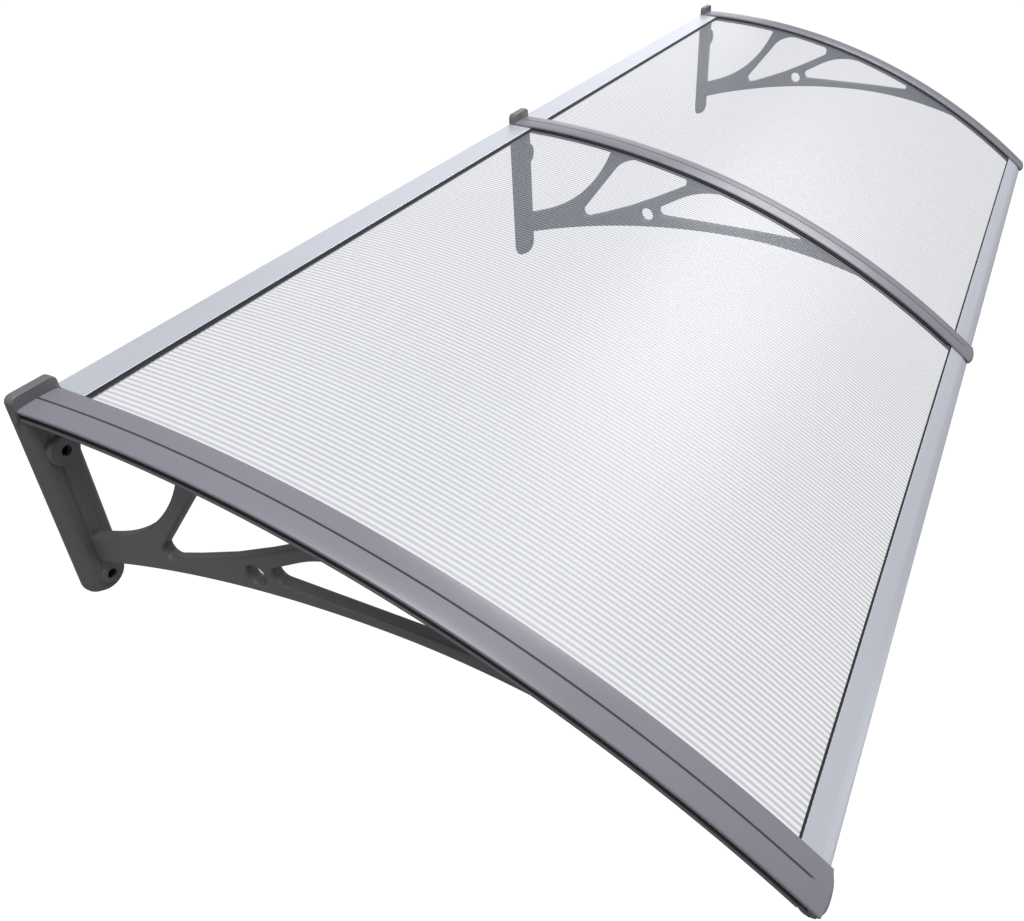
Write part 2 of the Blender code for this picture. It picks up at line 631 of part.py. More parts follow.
def main():
    clear_scene()
    group = new_collection("door_canopy")
    cutters = new_collection("cutters", hidden=True)
    places = {"left": -BAY_PITCH, "middle": 0.0, "right": BAY_PITCH}
    for side, x in places.items():
        build_bracket("bracket_" + side, x, group, cutters)
        build_strip("cover_strip_" + side, x, group, cutters)
    for side, first, last in (("left", "left", "middle"), ("right", "middle", "right")):
        left, right = places[first], places[last]
        build_sheet("sheet_" + side, left + SLOT_SIDE, right - SLOT_SIDE, group)
        build_wall_rail("wall_rail_" + side, left, right, group)
        build_front_rail("front_rail_" + side, left, right, group)
        build_wall_seal("wall_seal_" + side, left, right, group)
        build_front_seal("front_seal_" + side, left, right, group)
        build_edge_seal("edge_seal_" + side + "_start", left, 1, group)
        build_edge_seal("edge_seal_" + side + "_end", right, -1, group)


main()
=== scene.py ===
"""Looks of a two-bay door canopy: three moulded wall brackets with cover strips, two bent
twin-wall sheets, four aluminium rails and the rubber seals between them.

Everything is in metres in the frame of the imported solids: the wall is the plane Y = 0, the canopy
stands out towards -Y, X runs along the wall and Z is up. "Out" is the distance from the wall,
"drop" the depth below the start of the ridge and "level" the depth below the ridge circle, which
all bent pieces share. Angles held as fields are in degrees.
"""

from __future__ import annotations

import logging
import math
from dataclasses import dataclass
from enum import Enum
from typing import Sequence, Union

import bmesh
import bpy
import numpy as np
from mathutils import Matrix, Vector

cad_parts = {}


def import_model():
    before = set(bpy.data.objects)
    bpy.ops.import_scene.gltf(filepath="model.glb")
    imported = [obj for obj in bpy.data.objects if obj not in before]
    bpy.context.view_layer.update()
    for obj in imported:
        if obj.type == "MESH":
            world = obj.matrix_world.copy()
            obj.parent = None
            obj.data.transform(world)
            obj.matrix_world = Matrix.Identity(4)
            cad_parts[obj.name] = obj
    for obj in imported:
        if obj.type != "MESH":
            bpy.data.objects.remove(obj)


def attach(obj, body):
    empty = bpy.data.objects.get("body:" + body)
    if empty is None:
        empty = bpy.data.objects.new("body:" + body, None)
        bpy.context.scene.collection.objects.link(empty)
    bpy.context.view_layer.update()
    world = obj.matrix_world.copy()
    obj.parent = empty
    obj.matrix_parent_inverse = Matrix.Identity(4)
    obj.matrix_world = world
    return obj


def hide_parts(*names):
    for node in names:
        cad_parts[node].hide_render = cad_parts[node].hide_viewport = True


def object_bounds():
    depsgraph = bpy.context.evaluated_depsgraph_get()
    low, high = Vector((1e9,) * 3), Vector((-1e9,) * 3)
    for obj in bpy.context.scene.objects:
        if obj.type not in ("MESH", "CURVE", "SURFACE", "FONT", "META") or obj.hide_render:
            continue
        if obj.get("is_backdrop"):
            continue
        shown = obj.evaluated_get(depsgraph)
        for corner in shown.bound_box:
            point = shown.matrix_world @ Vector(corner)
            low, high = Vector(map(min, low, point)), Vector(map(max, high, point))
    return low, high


LOG = logging.getLogger("canopy")
Colour = tuple[float, float, float]
Outline = np.ndarray
Value = Union["Signal", float, Sequence[float], bpy.types.NodeSocket]

# Lengths in metres; the two steps are the largest turns, in degrees, between two points of an arc
BRACKET_PITCH = 0.965
SLOT_SIDE = 0.0088
RIBS_PER_SHEET = 146
CORNER_STEP = 15.0
TONGUE_STEP = 30.0
WELD = 1e-7
RIM_SLACK = 1e-6
LEAST_MITRE = 0.3


class Slot(Enum):
    """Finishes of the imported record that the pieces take."""

    BRACKET = "bracket_plastic"
    COVER = "cover_plastic"
    SHEET = "twin_wall_sheet"
    ALUMINIUM = "satin_aluminium"
    RUBBER = "black_rubber"


class Edge(Enum):
    """The two long edges of a sheet, with the way from the edge to the sheet's middle."""

    START = 1.0
    END = -1.0


# Shader maths


class Signal:
    """A shader value that takes part in Python arithmetic, each operator adding one Math node."""

    def __init__(self, graph: "Graph", socket: bpy.types.NodeSocket) -> None:
        """Keeps the graph and the output socket that carries the value."""
        self.graph = graph
        self.socket = socket

    def __add__(self, other: Value) -> "Signal":
        """Sum."""
        return self.graph.maths("ADD", self, other)

    __radd__ = __add__

    def __sub__(self, other: Value) -> "Signal":
        """Difference."""
        return self.graph.maths("SUBTRACT", self, other)

    def __rsub__(self, other: Value) -> "Signal":
        """Difference with this value as the one taken away."""
        return self.graph.maths("SUBTRACT", other, self)

    def __mul__(self, other: Value) -> "Signal":
        """Product."""
        return self.graph.maths("MULTIPLY", self, other)

    __rmul__ = __mul__

    def __pow__(self, other: Value) -> "Signal":
        """Power."""
        return self.graph.maths("POWER", self, other)

    def cosine(self) -> "Signal":
        """Cosine of the value in radians."""
        return self.graph.maths("COSINE", self)


@dataclass
class Graph:
    """The node tree of one finish."""

    material: bpy.types.Material

    @classmethod
    def fresh(cls, name: str) -> "Graph":
        """A new material with nothing but its output.

        Args:
            name: name of the material.

        Returns:
            The graph that builds it.
        """
        material = bpy.data.materials.new(name)
        material.use_nodes = True
        material.node_tree.nodes.clear()
        return cls(material)

    def node(self, kind: str, settings: dict | None = None, inputs: dict | None = None) -> bpy.types.Node:
        """Adds one node.

        Args:
            kind: Blender's type of node.
            settings: attributes to set first, such as a Math node's operation.
            inputs: value or link of each socket, by name or number.

        Returns:
            The node.
        """
        made = self.material.node_tree.nodes.new(kind)
        for key, value in (settings or {}).items():
            setattr(made, key, value)
        for key, value in (inputs or {}).items():
            target = made.inputs[key]
            source = value.socket if isinstance(value, Signal) else value
            if isinstance(source, bpy.types.NodeSocket):
                self.material.node_tree.links.new(source, target)
            else:
                target.default_value = source
        return made

    def maths(self, operation: str, *values: Value) -> Signal:
        """One Math node with this operation on these values."""
        made = self.node("ShaderNodeMath", {"operation": operation}, dict(enumerate(values)))
        return Signal(self, made.outputs[0])

    def place(self) -> bpy.types.NodeSocket:
        """Position on the piece in metres, which is the position on the canopy."""
        return self.node("ShaderNodeTexCoord").outputs["Object"]

    def noise(self, scale: Sequence[float], detail: float = 2.0) -> Signal:
        """Noise between 0 and 1.

        Args:
            scale: cells per metre along X, Y and Z.
            detail: number of finer layers.

        Returns:
            The noise as a value.
        """
        spot = self.node("ShaderNodeMapping", {}, {"Vector": self.place(), "Scale": tuple(scale)})
        made = self.node("ShaderNodeTexNoise", {},
                         {"Vector": spot.outputs[0], "Scale": 1.0, "Detail": detail})
        return Signal(self, made.outputs["Fac"])

    def blend(self, factor: Value, first: Colour, second: Colour) -> bpy.types.NodeSocket:
        """Colour between two colours."""
        made = self.node("ShaderNodeMix", {"data_type": "RGBA"},
                         {0: factor, 6: (*first, 1.0), 7: (*second, 1.0)})
        return made.outputs[2]

    def bump(self, height: Value, distance: float, strength: float = 1.0) -> bpy.types.NodeSocket:
        """Normal of a surface raised by this height times the distance in metres."""
        made = self.node("ShaderNodeBump", {}, {"Strength": strength, "Distance": distance, "Height": height})
        return made.outputs["Normal"]

    def surface(self, inputs: dict) -> bpy.types.Material:
        """Closes the material with a Principled shader.

        Args:
            inputs: value or link of each of the shader's sockets.

        Returns:
            The finished material.
        """
        shader = self.node("ShaderNodeBsdfPrincipled", {}, inputs)
        self.node("ShaderNodeOutputMaterial", {}, {"Surface": shader.outputs[0]})
        return self.material


# Finishes


def scaled(colour: Colour, share: float) -> Colour:
    """The colour with each of its parts times this share."""
    return tuple(share * part for part in colour)


@dataclass(frozen=True)
class MouldedPlastic:
    """Satin injection-moulded plastic: spark-eroded grain, faint flow clouds and soft waves."""

    name: str
    colour: Colour
    roughness: float
    darkest: float = 0.90
    lightest: float = 1.08
    cloud_cells: float = 7.0
    grain_cells: float = 1500.0
    wave_cells: float = 38.0
    grain_depth: float = 0.00006

    def material(self) -> bpy.types.Material:
        """Colour = base times 0.90 to 1.08, by 0.8 cloud + 0.2 grain.

        Roughness = base - 0.05 + 0.10 cloud + 0.06 grain. Height = 0.6 grain + 1.6 wave.

        Returns:
            The finished material.
        """
        graph = Graph.fresh(self.name)
        cloud = graph.noise((self.cloud_cells,) * 3, 3.0)
        grain = graph.noise((self.grain_cells,) * 3, 2.0)
        wave = graph.noise((self.wave_cells,) * 3, 1.0)
        return graph.surface({
            "Base Color": graph.blend(cloud * 0.8 + grain * 0.2, scaled(self.colour, self.darkest),
                                      scaled(self.colour, self.lightest)),
            "Roughness": self.roughness - 0.05 + 0.10 * cloud + 0.06 * grain,
            "Specular IOR Level": 0.5,
            "Normal": graph.bump(grain * 0.6 + wave * 1.6, self.grain_depth),
        })


@dataclass(frozen=True)
class TwinWall:
    """Clear twin-wall sheet: two thin skins joined by upright ribs that run from wall to front."""

    name: str
    arc: "Arc"
    width: float = BRACKET_PITCH - 2 * SLOT_SIDE
    ribs: int = RIBS_PER_SHEET
    middle_level: float = 0.0083
    rib: Colour = (0.238, 0.250, 0.298)
    web: Colour = (0.31, 0.32, 0.375)
    rib_cover: float = 0.65
    web_cover: float = 0.11
    under_cover: float = 0.12
    haze_cover: float = 0.03
    rib_power: float = 1.2
    swell_power: float = 0.8
    swell_height: float = 0.00030
    swell_strength: float = 0.45

    def material(self) -> bpy.types.Material:
        """Rib = ((cos(2 pi x / pitch) + 1) / 2)^1.2; colour, cover and bump all follow it.

        The upper skin, which carries the ribs' cover, is what lies further than the sheet's middle
        from the arc's centre: (y + c)^2 + (z - z0)^2 > (R - level)^2. The under skin is evenly clear.

        Returns:
            The finished material.
        """
        graph = Graph.fresh(self.name)
        parts = graph.node("ShaderNodeSeparateXYZ", {}, {0: graph.place()})
        across = Signal(graph, parts.outputs[0])
        back = Signal(graph, parts.outputs[1]) + self.arc.centre_out
        rise = Signal(graph, parts.outputs[2]) - self.arc.centre_z
        middle = (self.arc.radius - self.middle_level) ** 2
        upper = graph.maths("GREATER_THAN", back * back + rise * rise, middle)
        ridge = ((across * (math.tau * self.ribs / self.width)).cosine() + 1.0) * 0.5
        rib = ridge ** self.rib_power
        cover = self.web_cover + (self.rib_cover - self.web_cover) * rib
        haze = graph.noise((5.0, 3.0, 5.0), 2.0)
        drawn = graph.noise((420.0, 6.0, 60.0), 2.0)
        swell = ridge ** self.swell_power + 0.05 * drawn
        return graph.surface({
            "Base Color": graph.blend(rib, self.web, self.rib),
            "Roughness": 0.29 + 0.08 * haze + 0.04 * drawn,
            "Alpha": self.under_cover + upper * (cover - self.under_cover) + self.haze_cover * haze,
            "IOR": 1.55,
            "Normal": graph.bump(swell, self.swell_height, self.swell_strength),
        })


@dataclass(frozen=True)
class Anodised:
    """Satin anodised extrusion with fine drawing lines along its length."""

    name: str
    colour: Colour
    metallic: float = 0.65
    roughness: float = 0.36
    darkest: float = 0.92
    line_depth: float = 0.00002

    def material(self) -> bpy.types.Material:
        """Lines = noise stretched along X; they shade roughness, bump and a little colour.

        Returns:
            The finished material.
        """
        graph = Graph.fresh(self.name)
        lines = graph.noise((2.5, 2600.0, 2600.0), 3.0)
        cloud = graph.noise((3.0, 9.0, 9.0), 2.0)
        return graph.surface({
            "Base Color": graph.blend(lines * 0.7 + cloud * 0.3, scaled(self.colour, self.darkest),
                                      self.colour),
            "Metallic": self.metallic,
            "Roughness": self.roughness + 0.10 * lines + 0.05 * cloud,
            "Normal": graph.bump(lines, self.line_depth),
        })


@dataclass(frozen=True)
class Rubber:
    """Matt black extruded rubber with a faint bloom."""

    name: str
    colour: Colour = (0.008, 0.008, 0.009)
    bloom_base: float = 0.006
    bloom_share: float = 1.4
    skin_depth: float = 0.00004

    def material(self) -> bpy.types.Material:
        """Bloom = noise that greys the colour to 0.006 + 1.4 times its parts and roughens it.

        Returns:
            The finished material.
        """
        graph = Graph.fresh(self.name)
        bloom = graph.noise((60.0, 60.0, 60.0), 3.0)
        pale = tuple(self.bloom_base + self.bloom_share * part for part in self.colour)
        return graph.surface({
            "Base Color": graph.blend(bloom, self.colour, pale),
            "Roughness": 0.55 + 0.2 * bloom,
            "Specular IOR Level": 0.3,
            "Normal": graph.bump(graph.noise((900.0, 40.0, 900.0), 2.0), self.skin_depth),
        })


@dataclass(frozen=True)
class StudioFloor:
    """Pale seamless floor, lit up from within like a light table."""

    name: str
    colour: Colour = (0.28, 0.28, 0.28)
    darkest: float = 0.985
    seen_base: float = 0.02
    glow: float = 1.03
    roughness: float = 0.9
    specular: float = 0.1

    def material(self) -> bpy.types.Material:
        """Matt grey to the light that it throws back; the camera sees a white glow in its place.

        Returns:
            The finished material.
        """
        graph = Graph.fresh(self.name)
        cloud = graph.noise((1.5, 1.5, 1.5), 2.0)
        matt = graph.node("ShaderNodeBsdfPrincipled", {}, {
            "Base Color": graph.blend(cloud, scaled(self.colour, self.darkest), self.colour),
            "Roughness": self.roughness,
            "Specular IOR Level": self.specular,
        })
        lit = graph.node("ShaderNodeBsdfPrincipled", {}, {
            "Base Color": (self.seen_base, self.seen_base, self.seen_base, 1.0),
            "Roughness": self.roughness,
            "Specular IOR Level": self.specular,
            "Emission Color": (1.0, 1.0, 1.0, 1.0),
            "Emission Strength": self.glow,
        })
        seen = graph.node("ShaderNodeLightPath").outputs["Is Camera Ray"]
        mixed = graph.node("ShaderNodeMixShader", {}, {0: seen, 1: matt.outputs[0], 2: lit.outputs[0]})
        graph.node("ShaderNodeOutputMaterial", {}, {"Surface": mixed.outputs[0]})
        return graph.material


# Outlines and shells


def rounded(corners: Sequence[tuple[tuple[float, float], float]], step: float = 4.0) -> Outline:
    """Closed outline whose corners are tangent arcs.

    An arc about c = p + u r / sin(h) turns from one side to the next, where p is the corner, u the
    bisector of its sides, h half the angle between them and r the radius.

    Args:
        corners: (point, radius) for each corner in turn.
        step: largest turn in degrees between two points of an arc.

    Returns:
        Array of points, one row each.
    """
    points = np.array([point for point, _ in corners])
    radii = [radius for _, radius in corners]
    runs = []
    for here, before, after, radius in zip(points, np.roll(points, 1, 0), np.roll(points, -1, 0), radii):
        if radius <= 0.0:
            runs.append(here[None])
            continue
        back = (before - here) / np.linalg.norm(before - here)
        ahead = (after - here) / np.linalg.norm(after - here)
        half = math.acos(float(np.clip(back @ ahead, -1.0, 1.0))) / 2.0
        middle = (back + ahead) / np.linalg.norm(back + ahead)
        centre = here + middle * radius / math.sin(half)
        start = here + back * radius / math.tan(half) - centre
        end = here + ahead * radius / math.tan(half) - centre
        turn = math.atan2(start[0] * end[1] - start[1] * end[0], float(start @ end))
        spin = turn * np.linspace(0.0, 1.0, max(2, math.ceil(abs(math.degrees(turn)) / step)) + 1)
        runs.append(centre + np.stack([start[0] * np.cos(spin) - start[1] * np.sin(spin),
                                       start[0] * np.sin(spin) + start[1] * np.cos(spin)], 1))
    return np.concatenate(runs)


def grown(outline: Outline, distance: float) -> Outline:
    """Closed outline with every side moved outward by the distance, or inward if it is negative.

    Each point moves by d / cos(a) along the normal of its two sides' mean, a being half their turn.

    Args:
        outline: points of the outline, one row each.
        distance: how far its sides move.

    Returns:
        As many points in the same order.
    """
    before = outline - np.roll(outline, 1, 0)
    after = np.roll(outline, -1, 0) - outline
    before /= np.linalg.norm(before, axis=1, keepdims=True)
    after /= np.linalg.norm(after, axis=1, keepdims=True)
    along = before + after
    along /= np.linalg.norm(along, axis=1, keepdims=True)
    x, y = outline.T
    area = float(np.sum(np.roll(x, 1) * y - x * np.roll(y, 1)))
    reach = math.copysign(distance, area * distance) / np.maximum(LEAST_MITRE, np.sum(along * after, 1))
    return outline + np.stack([along[:, 1], -along[:, 0]], 1) * reach[:, None]


@dataclass
class Shell:
    """A surface: its points and faces."""

    points: np.ndarray
    faces: list[list[int]]

    @classmethod
    def through(cls, rings: np.ndarray, capped: bool = True) -> "Shell":
        """Skin over rings of points, rings[u, v] being the surface's point at (u, v), v closed.

        Args:
            rings: array of shape (rings, points, 3).
            capped: whether the first and last ring are filled.

        Returns:
            The shell.
        """
        count, size = rings.shape[:2]
        start = np.arange(count - 1)[:, None] * size
        here = np.arange(size)[None, :]
        there = (here + 1) % size
        quads = np.stack([start + here, start + there, start + size + there, start + size + here], -1)
        faces = quads.reshape(-1, 4).tolist()
        if capped:
            faces += [list(range(size))[::-1], list(range((count - 1) * size, count * size))]
        return cls(rings.reshape(-1, 3), faces)

    def mesh(self, name: str) -> bpy.types.Mesh:
        """A mesh of the shell with its doubles merged and its faces turned outward.

        Args:
            name: name of the mesh.

        Returns:
            The mesh.
        """
        made = bpy.data.meshes.new(name)
        made.from_pydata(self.points.tolist(), [], self.faces)
        work = bmesh.new()
        work.from_mesh(made)
        bmesh.ops.remove_doubles(work, verts=work.verts, dist=WELD)
        bmesh.ops.recalc_face_normals(work, faces=work.faces)
        work.to_mesh(made)
        work.free()
        return made


def bar(outline: Outline, left: float, right: float) -> Shell:
    """Straight bar along X: point (x, y, z) with (y, z) on the outline and x from left to right.

    Args:
        outline: points (y, z) of its section.
        left: X of its first end.
        right: X of its last end.

    Returns:
        One closed shell.
    """
    x = np.array([left, right])[:, None, None]
    ring = np.broadcast_to(outline[None], (2, *outline.shape))
    return Shell.through(np.concatenate([np.broadcast_to(x, (2, len(outline), 1)), ring], 2))


def rim(outline: Outline, half_width: float, ease: float, way: float, steps: int = 6) -> np.ndarray:
    """Rings of a plate's edge with both its corners rounded.

    At turn t the ring lies half_width - ease (1 - sin t) from the middle and the outline is moved
    by way * ease (1 - cos t), for t from 0 to 90 degrees, and the same on the other side.

    Args:
        outline: points (y, z) of the edge.
        half_width: half the plate's thickness along X.
        ease: radius of the corners.
        way: -1 where the rounding narrows the outline, 1 where it widens it.
        steps: rings on each side.

    Returns:
        Array of shape (rings, points, 3), from -X to +X.
    """
    turns = np.linspace(0.0, math.pi / 2, steps)
    depth = half_width - ease * (1.0 - np.sin(turns))
    near = [np.column_stack([np.full(len(outline), d), grown(outline, way * ease * (1.0 - math.cos(t)))])
            for d, t in zip(depth, turns)]
    far = [ring * np.array([-1.0, 1.0, 1.0]) for ring in near]
    return np.array(far[::-1] + near)


def plate(outer: Outline, holes: Sequence[Outline], half_width: float, ease: float) -> Shell:
    """Plate in the YZ plane, centred on X = 0, with rounded rims round itself and its holes.

    Args:
        outer: outline of the plate.
        holes: outlines of its openings.
        half_width: half its thickness along X.
        ease: radius of every rim.

    Returns:
        One closed shell.
    """
    rims = [rim(outer, half_width, ease, -1.0)] + [rim(hole, half_width, ease, 1.0) for hole in holes]
    work = bmesh.new()
    for rings in rims:
        skin = Shell.through(rings, capped=False)
        verts = [work.verts.new(point) for point in skin.points.tolist()]
        for face in skin.faces:
            work.faces.new([verts[k] for k in face])
    work.edges.ensure_lookup_table()
    for side in (-1.0, 1.0):
        loops = [edge for edge in work.edges if edge.is_boundary
                 and all(vert.co.x * side > half_width - RIM_SLACK for vert in edge.verts)]
        bmesh.ops.triangle_fill(work, use_beauty=True, use_dissolve=False, edges=loops,
                                normal=(side, 0.0, 0.0))
    work.verts.index_update()
    shell = Shell(np.array([vert.co[:] for vert in work.verts]),
                  [[vert.index for vert in face.verts] for face in work.faces])
    work.free()
    return shell


def drum(radius: float, start: float, end: float, height: float, ease: float, sides: int = 48) -> Shell:
    """Round boss square to the wall: radius r(t) = r - e (1 - cos t) at out = end - e (1 - sin t).

    Args:
        radius: its radius.
        start: distance from the wall where it begins.
        end: distance from the wall where it ends.
        height: Z of its axis.
        ease: rounding of its outer rim.
        sides: points round it.

    Returns:
        One closed shell.
    """
    turns = np.linspace(0.0, math.pi / 2, 6) if ease else np.array([0.0])
    radii = np.concatenate([[radius], radius - ease * (1.0 - np.cos(turns))])
    outs = np.concatenate([[start], end - ease * (1.0 - np.sin(turns))])
    angle = np.arange(sides) * math.tau / sides
    rings = np.stack([np.outer(radii, np.cos(angle)), np.broadcast_to(-outs[:, None], (len(outs), sides)),
                      height + np.outer(radii, np.sin(angle))], -1)
    return Shell.through(rings)


def cut(mesh: bpy.types.Mesh, cutters: Sequence[bpy.types.Mesh]) -> bpy.types.Mesh:
    """The mesh with the cutters' solids taken out of it.

    Args:
        mesh: the closed mesh to cut.
        cutters: closed meshes of what is taken away.

    Returns:
        A new mesh.
    """
    scene = bpy.context.scene.collection
    body = bpy.data.objects.new("blank", mesh)
    scene.objects.link(body)
    tools = [bpy.data.objects.new("tool", cutter) for cutter in cutters]
    for tool in tools:
        scene.objects.link(tool)
        modifier = body.modifiers.new("cut", "BOOLEAN")
        modifier.operation = "DIFFERENCE"
        modifier.solver = "EXACT"
        modifier.object = tool
    bpy.context.view_layer.update()
    made = bpy.data.meshes.new_from_object(body.evaluated_get(bpy.context.evaluated_depsgraph_get()))
    for item in [body, *tools]:
        bpy.data.objects.remove(item, do_unlink=True)
    return made


@dataclass
class Workshop:
    """Puts shells together to pieces, dresses them and hands them to the frame."""

    finishes: dict[Slot, bpy.types.Material]
    made: int = 0

    def piece(self, name: str, node: str, slot: Slot, parts: Sequence[Union[Shell, bpy.types.Mesh]],
              sharp: float = 35.0) -> None:
        """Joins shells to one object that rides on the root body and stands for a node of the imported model.

        Args:
            name: name of the new object.
            node: name of the node that it replaces.
            slot: its finish.
            parts: its shells or ready meshes.
            sharp: angle in degrees from which an edge stays crisp.
        """
        work = bmesh.new()
        for part in parts:
            ready = part.mesh(name) if isinstance(part, Shell) else part
            work.from_mesh(ready)
            bpy.data.meshes.remove(ready)
        mesh = bpy.data.meshes.new(name)
        work.to_mesh(mesh)
        work.free()
        mesh.materials.clear()
        mesh.materials.append(self.finishes[slot])
        mesh.polygons.foreach_set("material_index", np.zeros(len(mesh.polygons), np.int32))
        mesh.polygons.foreach_set("use_smooth", np.ones(len(mesh.polygons), bool))
        mesh.set_sharp_from_angle(angle=math.radians(sharp))
        made = bpy.data.objects.new(name, mesh)
        bpy.context.scene.collection.objects.link(made)
        weighted = made.modifiers.new("even_normals", "WEIGHTED_NORMAL")
        weighted.keep_sharp = True
        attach(made, "root")
        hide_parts(node)
        self.made += 1
        LOG.info("%s: %d points, %d faces, for %s", name, len(mesh.vertices), len(mesh.polygons), node)


# The shared arc


@dataclass(frozen=True)
class Arc:
    """The ridge circle: its centre lies in front of the wall and below the ridge."""

    radius: float = 1.3196
    centre_out: float = 0.0078
    ridge: float = 0.1413

    @property
    def centre_z(self) -> float:
        """Height of the circle's centre."""
        return self.ridge - self.radius

    def angle(self, out: float) -> float:
        """Turn from the vertical at this distance from the wall: sin a = (out - centre) / R."""
        return math.asin((out - self.centre_out) / self.radius)

    def on(self, out: float, level: float) -> tuple[float, float]:
        """Point (y, z) at this distance from the wall, on the circle a level below the ridge."""
        reach = out - self.centre_out
        return (-out, self.centre_z + math.sqrt((self.radius - level) ** 2 - reach * reach))

    def at(self, out: float, drop: float) -> tuple[float, float]:
        """Point (y, z) at this distance from the wall and below the start of the ridge."""
        return (-out, self.ridge - drop)

    def line(self, start: float, end: float, level: float, count: int) -> Outline:
        """Points (y, z) along the circle a level below the ridge."""
        return np.array([self.on(out, level) for out in np.linspace(start, end, count)])

    def bent(self, section: Outline, start: float, end: float, steps: int = 72) -> Shell:
        """Bar with an (x, level) section carried along the arc.

        Its point at turn a is (x, -c - (R - level) sin a, z0 + (R - level) cos a).

        Args:
            section: closed outline of (x, level).
            start: distance from the wall of its first end.
            end: distance from the wall of its last end.
            steps: rings along it.

        Returns:
            One closed shell.
        """
        turn = np.linspace(self.angle(start), self.angle(end), steps)[:, None]
        reach = (self.radius - section[:, 1])[None, :]
        x = np.broadcast_to(section[:, 0][None, :], (steps, len(section)))
        y = -self.centre_out - reach * np.sin(turn)
        z = self.centre_z + reach * np.cos(turn)
        return Shell.through(np.stack([x, y, z], -1))


def box_section(left: float, right: float, top: float, bottom: float, ease: float) -> Outline:
    """Rectangle of (x, level) with rounded corners."""
    corners = ((left, top), (right, top), (right, bottom), (left, bottom))
    return rounded([(corner, ease) for corner in corners], CORNER_STEP)


# The bracket


